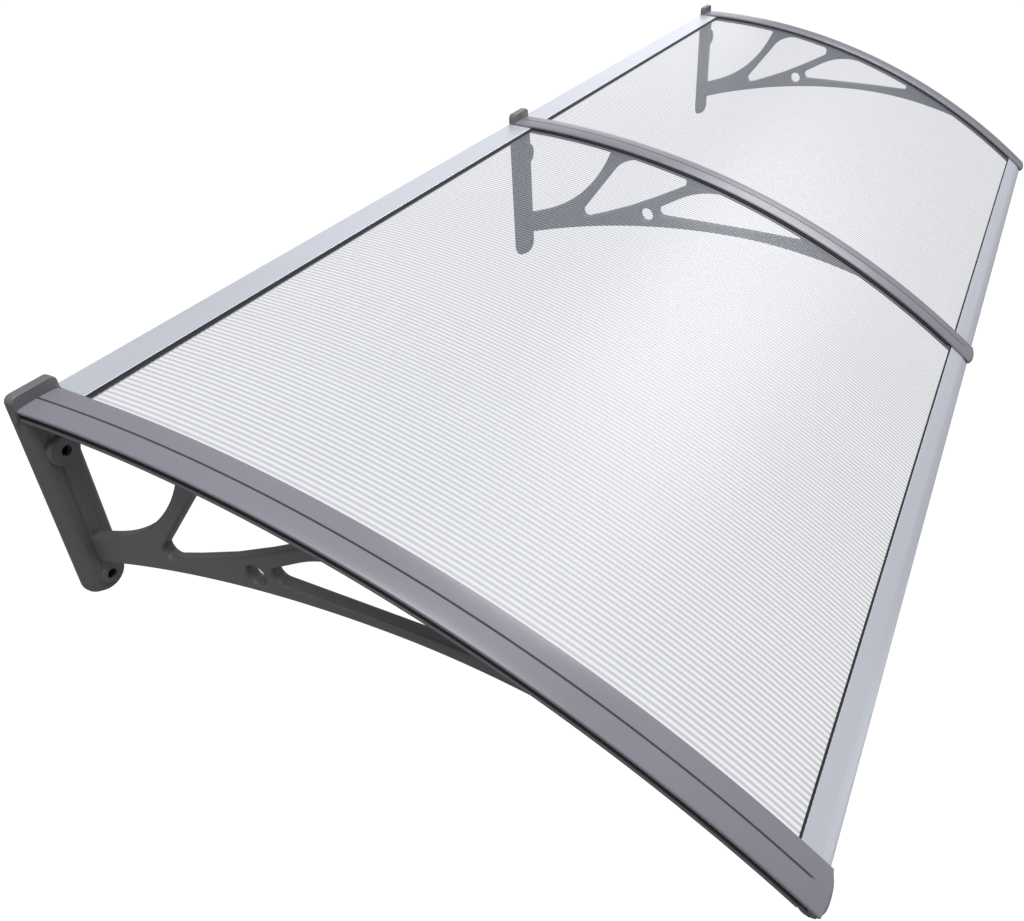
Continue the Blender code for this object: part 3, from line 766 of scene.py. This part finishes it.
@dataclass
class Bracket:
    """Moulded wall bracket: plate and column, head, openwork arms, slotted beam and toe.

    A corner of an outline is (point, radius); a point is given by its distance from the wall and
    either its drop below the ridge or its level under the ridge circle.
    """

    arc: Arc
    half_width: float = 0.0256
    plate_depth: float = 0.005
    plate_ease: float = 0.0012
    plate_inside: float = 0.0001
    column_depth: float = 0.0164
    column_inset: float = 0.009
    column_swell: tuple[float, float] = (0.0135, 0.0025)
    column_top: float = 0.012
    end_drop: float = 0.2243
    head_start: float = 0.0001
    head_rise: float = 0.0125
    head_shoulder: float = 0.0068
    head_depth: float = 0.010
    head_foot: float = 0.017
    head_corner: float = 0.0076
    head_ease: float = 0.0015
    hole_drops: tuple[float, float] = (0.0583, 0.2243)
    boss_radii: tuple[float, float] = (0.017, 0.0125)
    boss_depths: tuple[float, float] = (0.0235, 0.0188)
    boss_start: float = 0.003
    boss_ease: float = 0.0028
    recess_radius: float = 0.0057
    recess_depth: float = 0.007
    hole_radius: float = 0.0033
    cut_margin: float = 0.004
    spine_drop: float = 0.030
    spine_start: float = 0.005
    spine_end: float = 0.0185
    spine_half: float = 0.0065
    spine_ease: float = 0.0022
    arm_half_width: float = 0.0075
    arm_ease: float = 0.0036
    arm_start: float = 0.003
    arm_end: float = 0.658
    arm_top_end: float = 0.670
    arm_top_level: float = 0.0052
    arm_apex: tuple[float, float] = (0.400, 0.1422)
    arm_radius_behind: float = 1.20
    arm_radius_in_front: float = 0.760
    skin: float = 0.0166
    eye: tuple[float, float] = (0.2473, 0.1312)
    eye_radius: float = 0.0115
    beam_start: float = 0.004
    beam_end: float = 0.8032
    flange_half: float = 0.0235
    flange_top: float = 0.0106
    flange_bottom: float = 0.0136
    flange_end: float = 0.7935
    flange_ease: float = 0.0009
    rib_half: float = 0.0085
    rib_top: float = 0.0045
    rib_bottom: float = 0.0116
    rib_end: float = 0.798
    rib_ease: float = 0.0003
    toe_axis: tuple[float, float] = (0.7975, 0.268)
    toe_radius: float = 0.0125
    toe_turn: float = -88.0
    toe_rear: float = 0.785
    toe_slot: float = 0.794
    toe_half: float = 0.022
    toe_ease: float = 0.003

    def column(self) -> Shell:
        """Plate and column as one skin over rings that shrink towards the front.

        Ring depth and inset follow the parabola (1-t)^2 P0 + 2t(1-t) P1 + t^2 P2 with
        P0 = (5, 0), P1 = (13.5, 2.5) and P2 = (16.4, 9) mm.

        Returns:
            One closed shell.
        """
        t = np.linspace(0.0, 1.0, 12)
        swell_out, swell_inset = self.column_swell
        depth = (1 - t) ** 2 * self.plate_depth + 2 * t * (1 - t) * swell_out + t ** 2 * self.column_depth
        inset = 2 * t * (1 - t) * swell_inset + t ** 2 * self.column_inset
        ease = self.plate_ease
        outs = np.concatenate([[0.0, self.plate_depth - ease, self.plate_depth - ease / 3], depth])
        insets = np.concatenate([[self.plate_inside, self.plate_inside, ease / 3], inset + ease])
        top = self.arc.ridge - self.column_top
        low = self.arc.ridge - self.end_drop
        turn = np.linspace(0.0, math.pi, 33)
        rings = []
        for out, shrink in zip(outs, insets):
            half = self.half_width - shrink
            ring = np.concatenate([[[-half, top], [half, top]],
                                   np.stack([half * np.cos(turn), low - half * np.sin(turn)], 1)])
            rings.append(np.column_stack([ring[:, 0], np.full(len(ring), -out), ring[:, 1]]))
        return Shell.through(np.array(rings))

    def head(self) -> Shell:
        """Head block: rings towards the front, upper corners round, foot sloping up and back.

        Its front edge turns by out = depth - e (1 - sin t) and shrink = e (1 - cos t). It starts a
        hair in front of the wall, so that its rear face never lies in the plate's.

        Returns:
            One closed shell.
        """
        turn = np.linspace(0.0, math.pi / 2, 6)
        outs = np.concatenate([[self.head_start, self.plate_depth, self.head_shoulder],
                               self.head_depth - self.head_ease * (1.0 - np.sin(turn))])
        shrinks = np.concatenate([[0.0, 0.0, 0.0], self.head_ease * (1.0 - np.cos(turn))])
        bend = np.linspace(0.0, math.pi / 2, 9)
        rings = []
        for out, shrink in zip(outs, shrinks):
            half = self.half_width - shrink
            top = self.arc.ridge + self.head_rise - shrink
            foot = self.arc.ridge - self.head_foot + max(0.0, out - self.plate_depth) + shrink
            radius = self.head_corner - shrink * 0.5
            right = np.stack([half - radius + radius * np.sin(bend), top - radius + radius * np.cos(bend)], 1)
            left = right[::-1] * np.array([-1.0, 1.0])
            ring = np.concatenate([right, [[half, foot], [-half, foot]], left])
            rings.append(np.column_stack([ring[:, 0], np.full(len(ring), -out), ring[:, 1]]))
        return Shell.through(np.array(rings))

    def openings(self) -> list[Outline]:
        """Outlines of the three openings and the round eye between the arms.

        Their upper corners lie on the arms' skin, a fixed level under the ridge circle.

        Returns:
            Rear, middle and front opening and the eye.
        """
        at, on, skin = self.arc.at, self.arc.on, self.skin
        rear = [(at(0.012, 0.1694), 0.0), (at(0.1367, 0.1265), 0.219), (on(0.1816, skin), 0.004)]
        rear += [(on(out, skin), 0.0) for out in np.linspace(0.16, 0.012, 12)]
        middle = [(at(0.1104, 0.1631), 0.0088), (at(0.2176, 0.1229), 0.80),
                  (on(0.3365, skin), 0.011), (on(0.2085, skin), 0.060)]
        front = [(at(0.2437, 0.1293), 0.0094), (at(0.430, 0.1290), 1.5), (at(0.5395, 0.1316), 0.0060),
                 (on(0.452, skin), 0.50), (on(0.356, skin), 0.129)]
        turn = np.linspace(0.0, math.tau, 48, endpoint=False)
        eye = np.array(at(*self.eye)) + self.eye_radius * np.stack([np.cos(turn), np.sin(turn)], 1)
        return [rounded(rear, 2.0), rounded(middle, 5.0), rounded(front, 5.0), eye]

    def arms(self) -> Shell:
        """Arms: lower edge drop = 142.2 mm + (out - 400)^2 / (2 R), R = 1.20 m behind and 0.76 m in front.

        Returns:
            One closed shell with the openings in it.
        """
        out = np.linspace(self.arm_start, self.arm_end, 90)
        apex_out, apex_drop = self.arm_apex
        reach = out - apex_out
        radius = np.where(reach < 0.0, self.arm_radius_behind, self.arm_radius_in_front)
        drop = apex_drop + reach ** 2 / (2 * radius)
        low = np.stack([-out, self.arc.ridge - drop], 1)
        top = self.arc.line(self.arm_top_end, self.arm_start, self.arm_top_level, 60)
        return plate(np.concatenate([low, top]), self.openings(), self.arm_half_width, self.arm_ease)

    def beam(self) -> list[Shell]:
        """Flange under the sheets and the rib between them, both bent to the arc.

        Returns:
            The two closed shells.
        """
        flange = box_section(-self.flange_half, self.flange_half, self.flange_top, self.flange_bottom,
                             self.flange_ease)
        rib = box_section(-self.rib_half, self.rib_half, self.rib_top, self.rib_bottom, self.rib_ease)
        return [self.arc.bent(flange, self.beam_start, self.flange_end),
                self.arc.bent(rib, self.beam_start, self.rib_end)]

    def toe(self) -> Shell:
        """Rounded end under the nose: an arc about the toe's axis closed by the slot's levels.

        Returns:
            One closed shell.
        """
        on = self.arc.on
        last = math.asin((self.beam_end - self.toe_axis[0]) / self.toe_radius)
        turn = np.linspace(math.radians(self.toe_turn), last, 24)
        axis = np.array(self.arc.at(*self.toe_axis))
        low = axis - self.toe_radius * np.stack([np.sin(turn), np.cos(turn)], 1)
        rest = [on(self.beam_end, self.rib_top), on(self.toe_slot, self.rib_top),
                on(self.toe_slot, self.flange_top), on(self.toe_rear, self.flange_top)]
        return plate(np.concatenate([low, rest]), [], self.toe_half, self.toe_ease)

    def spine(self) -> Shell:
        """Narrow raised rib down the middle of the column.

        Returns:
            One closed shell.
        """
        top, low = self.arc.ridge - self.spine_drop, self.arc.ridge - self.end_drop
        outline = np.array([[-self.spine_start, top], [-self.spine_end, top],
                            [-self.spine_end, low], [-self.spine_start, low]])
        return plate(outline, [], self.spine_half, self.spine_ease)

    def fixing(self) -> list[bpy.types.Mesh]:
        """Column, spine and bosses, with the two stepped screw holes cut through them.

        Returns:
            One closed mesh for each of them.
        """
        blanks = [self.column(), self.spine()]
        tools = []
        margin = self.cut_margin
        for drop, radius, depth in zip(self.hole_drops, self.boss_radii, self.boss_depths):
            height = self.arc.ridge - drop
            blanks.append(drum(radius, self.boss_start, depth, height, self.boss_ease))
            tools.append(drum(self.recess_radius, depth - self.recess_depth, depth + margin, height, 0.0, 40))
            tools.append(drum(self.hole_radius, -margin, depth + margin / 2, height, 0.0, 32))
        return [cut(blank.mesh("blank"), [tool.mesh("tool") for tool in tools]) for blank in blanks]

    def build(self, shop: Workshop, name: str, x: float) -> None:
        """Builds one bracket.

        Args:
            shop: the workshop that dresses the piece.
            name: node that it replaces.
            x: its place along the wall.
        """
        shells = [self.head(), self.arms(), *self.beam(), self.toe()]
        meshes = [shell.mesh(name) for shell in shells] + self.fixing()
        for mesh in meshes:
            points = np.empty(len(mesh.vertices) * 3, np.float32)
            mesh.vertices.foreach_get("co", points)
            points.reshape(-1, 3)[:, 0] += x
            mesh.vertices.foreach_set("co", points)
        shop.piece("moulded_" + name, name, Slot.BRACKET, meshes)


# The cover strip


@dataclass
class CoverStrip:
    """Cover strip: shallow roof with a groove on its ridge that ends before a round nose."""

    arc: Arc
    half_width: float = 0.0235
    start: float = 0.0103
    underside: float = 0.0042
    edge_fall: float = 0.0014
    edge_ease: float = 0.0017
    edge_share: float = 0.92
    groove_half: float = 0.0012
    groove_depth: float = 0.0037
    groove_end: float = 0.7960
    groove_fade: float = 0.007
    groove_wall: float = 1.6
    nose_out: float = 0.8100
    nose_radius: float = 0.0072
    nose_turn: float = 160.0
    nose_rings: int = 27
    nose_plan_fall: float = 0.0045
    nose_narrowing: float = 0.42
    nose_wall: float = 0.8035
    nose_lip: float = 0.0010
    approach: float = 0.02

    def across(self) -> tuple[np.ndarray, np.ndarray]:
        """Half the roof from its edge to the ridge, s being the share |x| / half width.

        The edge turns down by a quarter circle, and the roof falls by f (0.25 s + 0.75 s^2.6).

        Returns:
            X of each station and how far the roof has fallen there.
        """
        turn = np.linspace(math.pi / 2, 0.0, 6)
        edge_x = self.half_width - self.edge_ease * (1.0 - np.sin(turn))
        edge_fall = self.edge_fall * self.edge_share + self.edge_ease * (1.0 - np.cos(turn))
        roof_x = np.concatenate([np.linspace(edge_x[-1], 0.0026, 9)[1:], np.linspace(0.0022, 0.0, 12)])
        share = roof_x / self.half_width
        roof_fall = self.edge_fall * (0.25 * share + 0.75 * share ** 2.6)
        return np.concatenate([edge_x, roof_x]), np.concatenate([edge_fall, roof_fall])

    def build(self, shop: Workshop, name: str, x: float) -> None:
        """Surface(u, v): v runs across the roof, u along the arc and then round the nose.

        Along the arc the point is ridge(u) - n(u) fall(v), n being the outward normal; round the
        nose the normal turns on to 160 degrees about the nose's axis. The groove takes
        depth min(1, 1.6 (1 - |x| / g)) off the ridge. With p the share of the way round the nose, the
        strip narrows by 0.42 p^1.6, and its sides fall back by 4.5 mm (|x| / half width)^4, in full
        from p = 0.45 to 0.6 and not at all at p = 1. Two more points close each ring underneath.

        Args:
            shop: the workshop that dresses the piece.
            name: node that it replaces.
            x: its place along the wall.
        """
        arc, radius = self.arc, self.nose_radius
        axis_out = self.nose_out - radius
        turn = math.asin((axis_out - arc.centre_out) / (arc.radius - radius))
        axis = np.array([-axis_out, arc.centre_z + (arc.radius - radius) * math.cos(turn)])
        along = np.concatenate([np.linspace(arc.angle(self.start), turn - self.approach, 96)[:-1],
                                np.linspace(turn - self.approach, turn, 12)])
        way_round = np.arange(1, self.nose_rings + 1) / self.nose_rings
        round_nose = turn + (math.radians(self.nose_turn) - turn) * way_round
        angle = np.concatenate([along, round_nose])
        part = np.concatenate([np.zeros(len(along)), way_round])
        normal = np.stack([-np.sin(angle), np.cos(angle)], 1)
        on_nose = part[:, None] > 0.0
        arc_centre = np.array([-arc.centre_out, arc.centre_z])
        ridge = np.where(on_nose, axis, arc_centre) + normal * np.where(on_nose, radius, arc.radius)
        half_x, half_fall = self.across()
        across = np.concatenate([-half_x, half_x[::-1][1:]])
        fall = np.concatenate([half_fall, half_fall[::-1][1:]])
        left = np.clip((self.groove_end + ridge[:, 0]) / self.groove_fade, 0.0, 1.0)
        fade = np.where(part > 0.0, 0.0, left * left * (3.0 - 2.0 * left))
        section = np.clip(self.groove_wall * (1.0 - np.abs(across) / self.groove_half), 0.0, 1.0)
        down = fall[None] + fade[:, None] * self.groove_depth * section[None]
        bulge = np.sin(np.minimum(1.0, part / 0.45) * math.pi / 2)
        bulge *= np.where(part > 0.6, np.maximum(0.0, (1.0 - part) / 0.4), 1.0)
        back = bulge[:, None] * self.nose_plan_fall * (np.abs(across)[None] / self.half_width) ** 4
        narrow = 1.0 - self.nose_narrowing * part ** 1.6
        top = np.stack([narrow[:, None] * across[None], ridge[:, :1] - normal[:, :1] * down + back,
                        ridge[:, 1:] - normal[:, 1:] * down], -1)
        inner = arc_centre + (arc.radius - self.underside) * normal
        corner = np.array(arc.on(self.nose_wall, self.underside))
        bottom = axis[1] - radius + self.nose_lip
        drop = corner[1] + (bottom - corner[1]) * way_round
        inner[len(along) - 1] = corner
        inner[len(along):] = np.column_stack([np.full(self.nose_rings, corner[0]), drop])
        ends = np.stack([np.column_stack([side * self.half_width * narrow, inner])
                         for side in (1.0, -1.0)], 1)
        rings = np.concatenate([top, ends], 1) + np.array([x, 0.0, 0.0])
        shop.piece("grooved_" + name, name, Slot.COVER, [Shell.through(rings)], 40.0)


# One bay between two brackets


@dataclass
class Bay:
    """Sheet, rails and seals between two brackets."""

    arc: Arc
    left: float
    right: float
    side: str
    plate_half: float = 0.0256
    strip_half: float = 0.0235
    fit: float = 0.0003
    hair: float = 0.0001
    sheet_top: float = 0.0063
    sheet_floor: float = 0.0103
    sheet_start: float = 0.0225
    sheet_end: float = 0.7900
    sheet_ease: float = 0.0003
    rail_top: float = 0.0045
    rail_fall: float = 0.0015
    rail_bottom: float = 0.0124
    rail_ease: float = 0.0005
    rail_start: float = 0.0004
    rail_smooth: float = 30.0
    tongue_start: float = 0.0103
    tongue_end: float = 0.7937
    wall_lip: float = 0.0405
    wall_seal: float = 0.0470
    front_seal: float = 0.7725
    front_lip: float = 0.7753
    front_out: float = 0.8033
    front_radius: float = 0.0080
    nose_turn: float = 200.0
    edge_width: float = 0.0095
    edge_crease: float = 6.0
    seal_inner: float = 0.0165
    seal_reach_start: float = 0.0007
    # reach of the END-edge seal past the strip: real seal under the strip, painted shade beyond it
    seal_and_shade_reach_end: float = 0.0055

    @property
    def slots(self) -> tuple[float, float]:
        """X of the floors of the two brackets' slots, between which sheet, tongues and seals lie."""
        return self.left + SLOT_SIDE, self.right - SLOT_SIDE

    def sheet(self, shop: Workshop) -> None:
        """Twin-wall sheet, its long edges rounded where the skins are folded together.

        Args:
            shop: the workshop that dresses the piece.
        """
        section = box_section(*self.slots, self.sheet_top, self.sheet_floor, self.sheet_ease)
        shell = self.arc.bent(section, self.sheet_start, self.sheet_end, 90)
        shop.piece("fluted_sheet_" + self.side, "sheet_" + self.side, Slot.SHEET, [shell])

    def rail(self, shop: Workshop, place: str, body: Outline, tongue: Outline, inset: float) -> None:
        """An extrusion between the brackets, with thinner tongues that enter their slots.

        Args:
            shop: the workshop that dresses the piece.
            place: "wall" or "front".
            body: section (y, z) of the rail.
            tongue: section (y, z) of the tongues, a hair inside the rail's.
            inset: distance from a bracket's middle to the rail's end.
        """
        shells = [bar(body, self.left + inset, self.right - inset), bar(tongue, *self.slots)]
        shop.piece(f"extruded_{place}_rail_{self.side}", f"{place}_rail_{self.side}", Slot.ALUMINIUM,
                   shells, self.rail_smooth)

    def wall_rail(self, shop: Workshop) -> None:
        """Rail on the wall: its top falls to the lip, and lip and foot hold the sheet's rear edge.

        Args:
            shop: the workshop that dresses the piece.
        """
        on, lip, web = self.arc.on, self.wall_lip, self.sheet_start - self.fit
        high, low = self.sheet_top - self.fit, self.sheet_floor + self.fit
        body = rounded([(on(self.rail_start, self.rail_top - self.rail_fall), 0.0006),
                        (on(lip, self.rail_top), 0.0007),
                        (on(lip, high), 0.0), (on(web, high), 0.0), (on(web, low), 0.0), (on(lip, low), 0.0),
                        (on(lip, self.rail_bottom), self.rail_ease),
                        (on(self.rail_start, self.rail_bottom), self.rail_ease)], CORNER_STEP)
        top, under, end = self.rail_top + self.hair, high - self.hair, web - self.hair
        tongue = rounded([(on(self.tongue_start, top), 0.0), (on(lip - 0.0008, top), 0.0003),
                          (on(lip - self.hair, under), 0.0), (on(end, under), 0.0),
                          (on(end, self.sheet_floor), 0.0),
                          (on(self.tongue_start, self.sheet_floor), 0.0)], TONGUE_STEP)
        self.rail(shop, "wall", body, tongue, self.plate_half + self.fit)

    def front_rail(self, shop: Workshop) -> None:
        """Rail along the front: a flat on the sheet, a crease, and a wide edge bent down to the nose.

        The edge is the parabola (1-t)^2 P0 + 2t(1-t) P1 + t^2 P2 from the crease P0 to the foremost
        point P2, P1 lying on the crease's slope above P2. The nose is an arc about its own axis.

        Args:
            shop: the workshop that dresses the piece.
        """
        on, lip, web = self.arc.on, self.front_lip, self.sheet_end + self.fit
        high, low = self.sheet_top - self.fit, self.sheet_floor + self.fit
        axis_out, axis_level = self.front_out - self.front_radius, self.rail_top + self.front_radius
        axis = np.array(on(axis_out, axis_level))
        slope = math.asin((axis_out - self.arc.centre_out) / (self.arc.radius - axis_level))
        crease_out = self.front_out - self.edge_width
        crease = np.array(on(crease_out, self.rail_top))
        foremost = axis - np.array([self.front_radius, 0.0])
        steep = math.tan(slope + math.radians(self.edge_crease))
        above = crease - self.edge_width * np.array([1.0, steep])
        t = np.linspace(0.0, 1.0, 18)[:, None]
        edge = (1.0 - t) ** 2 * crease + 2.0 * t * (1.0 - t) * above + t ** 2 * foremost
        turn = np.linspace(math.pi / 2, math.radians(self.nose_turn), 20)[1:]
        nose = axis + self.front_radius * np.stack([-np.sin(turn), np.cos(turn)], 1)
        flat = np.array([on(lip, high), on(lip, self.rail_top + 0.0005),
                         on(lip + 0.0002, self.rail_top + 0.00015), on(lip + 0.0006, self.rail_top),
                         on(crease_out - 0.0004, self.rail_top)])
        foot = np.array([on(web - 0.0015, self.rail_bottom), on(lip, self.rail_bottom), on(lip, low),
                         on(web, low), on(web, high)])
        top, under, end = self.rail_top + self.hair, high - self.hair, web + self.hair
        tongue = np.array([on(lip + 0.0009, top), on(self.tongue_end, top),
                           on(self.tongue_end, self.sheet_floor), on(end, self.sheet_floor),
                           on(end, under), on(lip + self.hair, under)])
        body = np.concatenate([flat, edge, nose, foot])
        self.rail(shop, "front", body, tongue, self.strip_half + self.fit)

    def seals(self, shop: Workshop) -> None:
        """Rubber lips on the sheet: along both rails and along both long edges. The seal on each END edge
        reaches 5.5 mm past the cover strip. Under the strip it is real seal; beyond the strip it is a painted
        shadow band that stands in for the shaded side of the strip.

        Args:
            shop: the workshop that dresses the pieces.
        """
        on, fit = self.arc.on, self.fit
        high, low = self.rail_top + fit, self.sheet_top - fit
        start, end = self.wall_lip + fit, self.front_lip - fit
        wall = rounded([(on(start, low), 0.0), (on(start, high), 0.0003),
                        (on(self.wall_lip + 0.0045, high), 0.0012),
                        (on(self.wall_seal, low - 0.0004), 0.0002), (on(self.wall_seal, low), 0.0)],
                       CORNER_STEP)
        front = rounded([(on(self.front_seal, low), 0.0), (on(self.front_seal, low - 0.0008), 0.0002),
                         (on(self.front_seal + 0.0012, high), 0.0004), (on(end, high), 0.0002),
                         (on(end, low), 0.0)], CORNER_STEP)
        for place, section in (("wall", wall), ("front", front)):
            shop.piece(f"{place}_lip_seal_{self.side}", f"{place}_seal_{self.side}", Slot.RUBBER,
                       [bar(section, *self.slots)])
        # the END-edge seal is drawn wide: a black band of painted shade beside the cover strip
        for edge, x, reach in ((Edge.START, self.left, self.seal_reach_start),
                               (Edge.END, self.right, self.seal_and_shade_reach_end)):
            sides = sorted((x + edge.value * self.seal_inner, x + edge.value * (self.strip_half + reach)))
            shell = self.arc.bent(box_section(*sides, high, low, self.sheet_ease),
                                  self.wall_seal + fit, self.front_seal - fit)
            tail = f"{self.side}_{edge.name.lower()}"
            shop.piece("long_seal_" + tail, "edge_seal_" + tail, Slot.RUBBER, [shell])

    def build(self, shop: Workshop) -> None:
        """Builds every piece of the bay.

        Args:
            shop: the workshop that dresses the pieces.
        """
        self.sheet(shop)
        self.wall_rail(shop)
        self.front_rail(shop)
        self.seals(shop)


# The studio


@dataclass(frozen=True)
class Lamp:
    """A square soft light: where it stands, the point that it faces, its side in metres, its watts."""

    name: str
    place: tuple[float, float, float]
    aim: tuple[float, float, float]
    side: float
    watts: float

    def build(self) -> None:
        """Puts the light into the scene."""
        data = bpy.data.lights.new(self.name, "AREA")
        data.shape = "SQUARE"
        data.size = self.side
        data.energy = self.watts
        made = bpy.data.objects.new(self.name, data)
        made.location = self.place
        made.rotation_euler = (Vector(self.aim) - Vector(self.place)).to_track_quat("-Z", "Y").to_euler()
        bpy.context.scene.collection.objects.link(made)


@dataclass
class Studio:
    """Plain pale floor, soft lights and the camera."""

    floor_height: float = -0.62
    floor_half: float = 26.0
    surround: Colour = (0.96, 0.97, 1.0)
    surround_strength: float = 0.30
    camera_place: tuple[float, float, float] = (-1.4279, -0.8092, 0.6315)
    camera_tilt: float = 55.236
    camera_heading: float = -65.252
    lens: float = 33.24
    sensor: float = 36.0
    shift: tuple[float, float] = (-0.08231, -0.03286)

    def floor(self) -> None:
        """A flat square under the canopy, at the same height for every (u, v)."""
        side = np.linspace(-self.floor_half, self.floor_half, 3)
        x, y = np.meshgrid(side, side)
        points = np.stack([x, y, np.full_like(x, self.floor_height)], -1).reshape(-1, 3)
        mesh = bpy.data.meshes.new("studio_floor")
        quads = [[k, k + 1, k + 4, k + 3] for k in (0, 1, 3, 4)]
        mesh.from_pydata(points.tolist(), [], quads)
        mesh.materials.append(StudioFloor("studio_white").material())
        made = bpy.data.objects.new("studio_floor", mesh)
        bpy.context.scene.collection.objects.link(made)
        made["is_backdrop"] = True

    def lights(self) -> None:
        """A dim even surround, one large light overhead and weaker ones on all sides."""
        world = bpy.data.worlds.new("studio_surround")
        world.use_nodes = True
        background = world.node_tree.nodes["Background"].inputs
        background["Color"].default_value = (*self.surround, 1.0)
        background["Strength"].default_value = self.surround_strength
        bpy.context.scene.world = world
        for lamp in (Lamp("overhead", (-1.0, -0.9, 3.1), (-0.1, -0.4, 0.0), 2.0, 124.0),
                     Lamp("far_side", (2.1, -1.0, 1.9), (-0.5, -0.5, 0.0), 1.5, 42.0),
                     Lamp("far_end", (3.8, 1.1, 0.8), (0.5, 0.0, 0.1), 1.2, 8.0),
                     Lamp("back_side", (2.6, 2.0, 1.2), (0.0, 0.0, 0.1), 1.6, 6.0),
                     Lamp("left_side", (-3.2, 0.9, 0.5), (-0.96, -0.3, 0.0), 1.4, 5.0),
                     Lamp("front_low", (0.6, -2.7, -0.42), (-0.6, -0.8, -0.1), 0.7, 2.6)):
            lamp.build()

    def camera(self) -> None:
        """The camera of the photograph: 33.24 mm on a 36 mm sensor, 34.8 degrees down."""
        data = bpy.data.cameras.new("camera")
        data.lens = self.lens
        data.sensor_width = self.sensor
        data.shift_x, data.shift_y = self.shift
        data.clip_start = 0.05
        data.clip_end = 100.0
        made = bpy.data.objects.new("camera", data)
        made.location = self.camera_place
        made.rotation_euler = (math.radians(self.camera_tilt), 0.0, math.radians(self.camera_heading))
        bpy.context.scene.collection.objects.link(made)
        bpy.context.scene.camera = made

    def build(self) -> None:
        """Sets up camera, floor, lights and a plain display of the colours."""
        self.camera()
        self.floor()
        self.lights()
        bpy.context.scene.view_settings.view_transform = "Standard"


def finishes(arc: Arc) -> dict[Slot, bpy.types.Material]:
    """The five finishes of the canopy, by slot."""
    return {
        Slot.BRACKET: MouldedPlastic("dark_grey_plastic", (0.130, 0.124, 0.132), 0.36).material(),
        Slot.COVER: MouldedPlastic("mid_grey_plastic", (0.180, 0.172, 0.202), 0.30).material(),
        Slot.SHEET: TwinWall("fluted_polycarbonate", arc).material(),
        Slot.ALUMINIUM: Anodised("satin_anodised", (0.69, 0.715, 0.785)).material(),
        Slot.RUBBER: Rubber("black_seal").material(),
    }


def main() -> None:
    """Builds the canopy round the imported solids."""
    logging.basicConfig(level=logging.INFO, format="%(message)s")
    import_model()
    solid_box = [list(map(float, corner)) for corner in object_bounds()]
    Studio().build()
    arc = Arc()
    shop = Workshop(finishes(arc))
    for side, x in (("left", -BRACKET_PITCH), ("middle", 0.0), ("right", BRACKET_PITCH)):
        Bracket(arc).build(shop, "bracket_" + side, x)
        CoverStrip(arc).build(shop, "cover_strip_" + side, x)
    Bay(arc, -BRACKET_PITCH, 0.0, "left").build(shop)
    Bay(arc, 0.0, BRACKET_PITCH, "right").build(shop)
    looks_box = [list(map(float, corner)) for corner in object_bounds()]
    LOG.info("%d pieces; solids %s, looks %s", shop.made, solid_box, looks_box)


if __name__ == "__main__":
    main()
